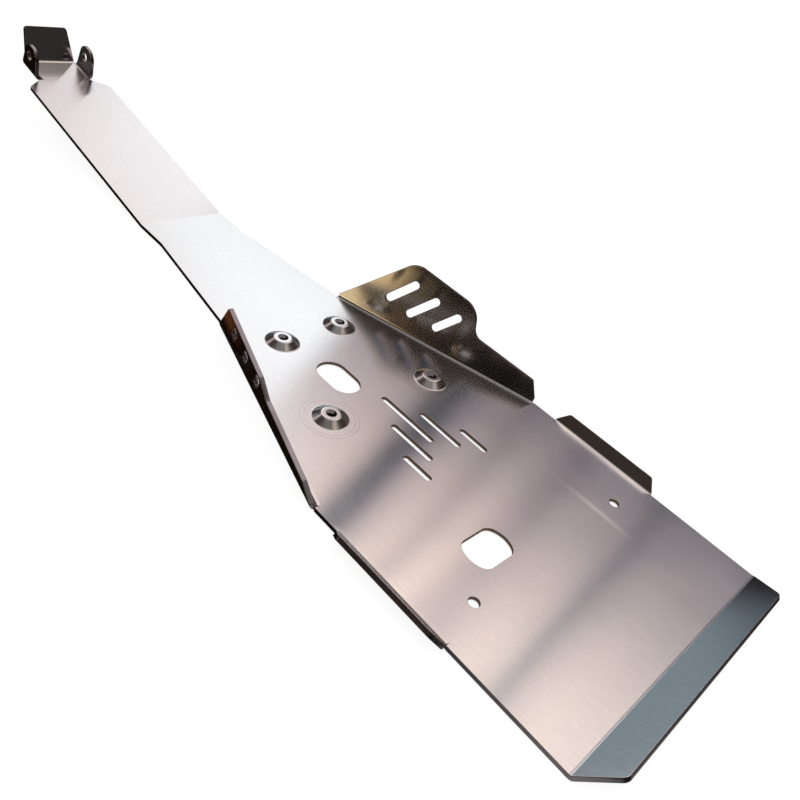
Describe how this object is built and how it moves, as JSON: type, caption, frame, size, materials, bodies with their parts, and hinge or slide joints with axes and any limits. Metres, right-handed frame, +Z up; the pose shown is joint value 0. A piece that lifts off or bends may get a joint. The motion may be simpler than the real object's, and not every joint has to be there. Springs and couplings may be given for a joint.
{
  "type": "quad bike skid plate",
  "caption": "Folded aluminium plate that shields a quad bike's underside, with a slotted side wing, low guard, rear lip, pressed screw dimples and a rising front strip with ears.",
  "frame": {"origin": "on the underside, below the middle of the plate's bounding box", "axes": "+X forward along the plate, from the rear lip to the front flap; +Y to the left; +Z up"},
  "size_m": [0.9646, 0.2936, 0.087],
  "materials": {
    "plate": "brushed mill finish, bare"
  },
  "bodies": {
    "root": {"skid_plate": "plate"}
  },
  "joints": []
}
